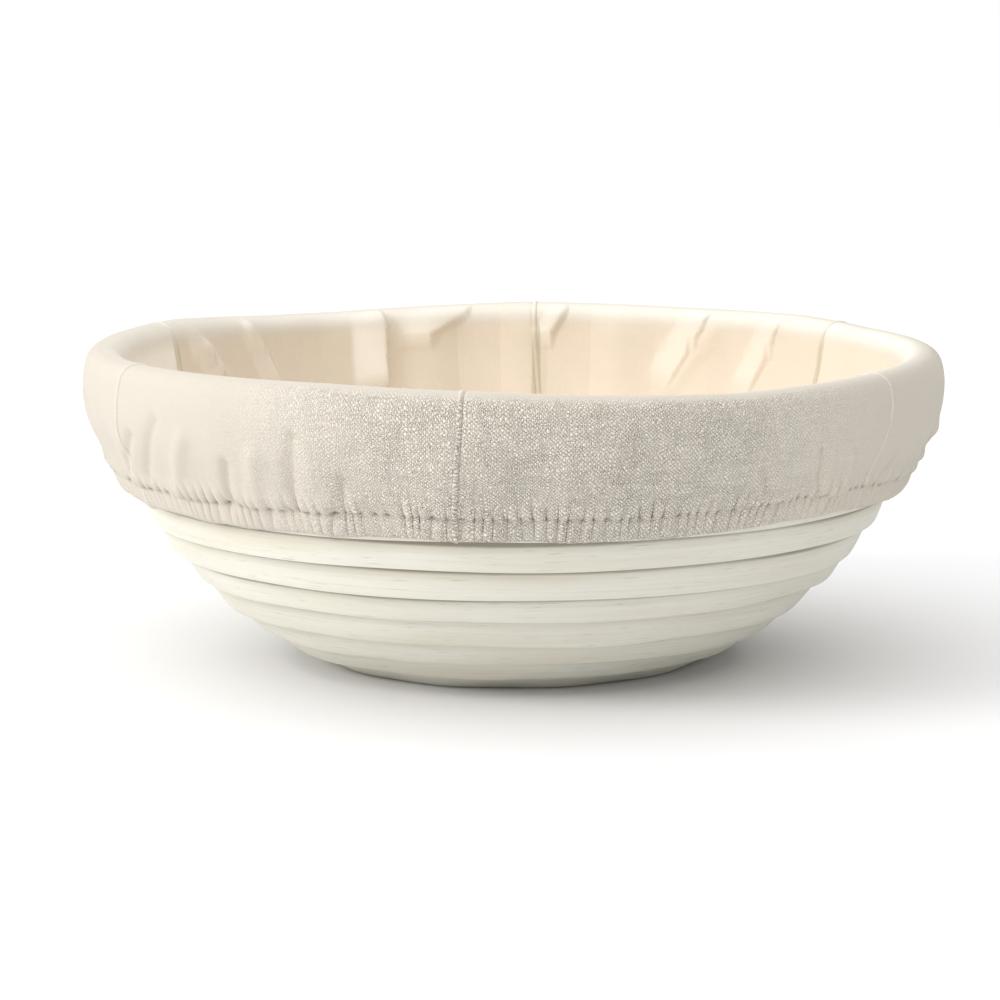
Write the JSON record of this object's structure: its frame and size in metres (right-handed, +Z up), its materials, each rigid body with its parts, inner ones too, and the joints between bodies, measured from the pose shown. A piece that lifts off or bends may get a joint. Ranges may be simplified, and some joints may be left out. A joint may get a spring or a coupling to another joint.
{
  "type": "banneton basket",
  "caption": "Round cane bowl for proving bread dough, with a lift-out cloth liner turned down over the rim and held by an elastic hem.",
  "frame": {"origin": "middle of the underside, on the surface it stands on", "axes": "+Z up out of the bowl, -Y towards the front"},
  "size_m": [0.2264, 0.2264, 0.0824],
  "materials": {
    "cane": "matt, undyed",
    "nail_steel": "bright wire",
    "linen": "plain weave, undyed",
    "elastic": "woven over rubber",
    "thread": "cotton"
  },
  "bodies": {
    "basket": {"base_winding": "cane", "wall_hoop_01": "cane", "wall_hoop_02": "cane", "wall_hoop_03": "cane", "wall_hoop_04": "cane", "wall_hoop_05": "cane", "wall_hoop_06": "cane", "wall_hoop_07": "cane", "wall_hoop_08": "cane", "wall_hoop_09": "cane", "wall_hoop_10": "cane", "wall_hoop_11": "cane", "hoop_nail_01_a": "nail_steel", "hoop_nail_01_b": "nail_steel", "hoop_nail_01_c": "nail_steel", "hoop_nail_02_a": "nail_steel", "hoop_nail_02_b": "nail_steel", "hoop_nail_02_c": "nail_steel", "hoop_nail_03_a": "nail_steel", "hoop_nail_03_b": "nail_steel", "hoop_nail_03_c": "nail_steel", "hoop_nail_04_a": "nail_steel", "hoop_nail_04_b": "nail_steel", "hoop_nail_04_c": "nail_steel", "hoop_nail_05_a": "nail_steel", "hoop_nail_05_b": "nail_steel", "hoop_nail_05_c": "nail_steel", "hoop_nail_06_a": "nail_steel", "hoop_nail_06_b": "nail_steel", "hoop_nail_06_c": "nail_steel", "hoop_nail_07_a": "nail_steel", "hoop_nail_07_b": "nail_steel", "hoop_nail_07_c": "nail_steel", "hoop_nail_08_a": "nail_steel", "hoop_nail_08_b": "nail_steel", "hoop_nail_08_c": "nail_steel", "hoop_nail_09_a": "nail_steel", "hoop_nail_09_b": "nail_steel", "hoop_nail_09_c": "nail_steel", "hoop_nail_10_a": "nail_steel", "hoop_nail_10_b": "nail_steel", "hoop_nail_10_c": "nail_steel", "hoop_nail_11_a": "nail_steel", "hoop_nail_11_b": "nail_steel", "hoop_nail_11_c": "nail_steel", "base_nail_1": "nail_steel", "base_nail_2": "nail_steel", "base_nail_3": "nail_steel", "base_nail_4": "nail_steel", "base_nail_5": "nail_steel", "base_nail_6": "nail_steel"},
    "liner": {"liner_gore_1": "linen", "liner_gore_2": "linen", "liner_gore_3": "linen", "liner_gore_4": "linen", "liner_gore_5": "linen", "liner_gore_6": "linen", "hem_elastic": "elastic", "hem_thread": "thread"}
  },
  "joints": [
    {"name": "liner_lift", "type": "slide", "parent": "basket", "child": "liner", "axis": [0, 0, 1], "range_m": [0, 0.12], "deforming": ["liner_gore_1", "liner_gore_2", "liner_gore_3", "liner_gore_4", "liner_gore_5", "liner_gore_6", "hem_elastic", "hem_thread"]}
  ]
}
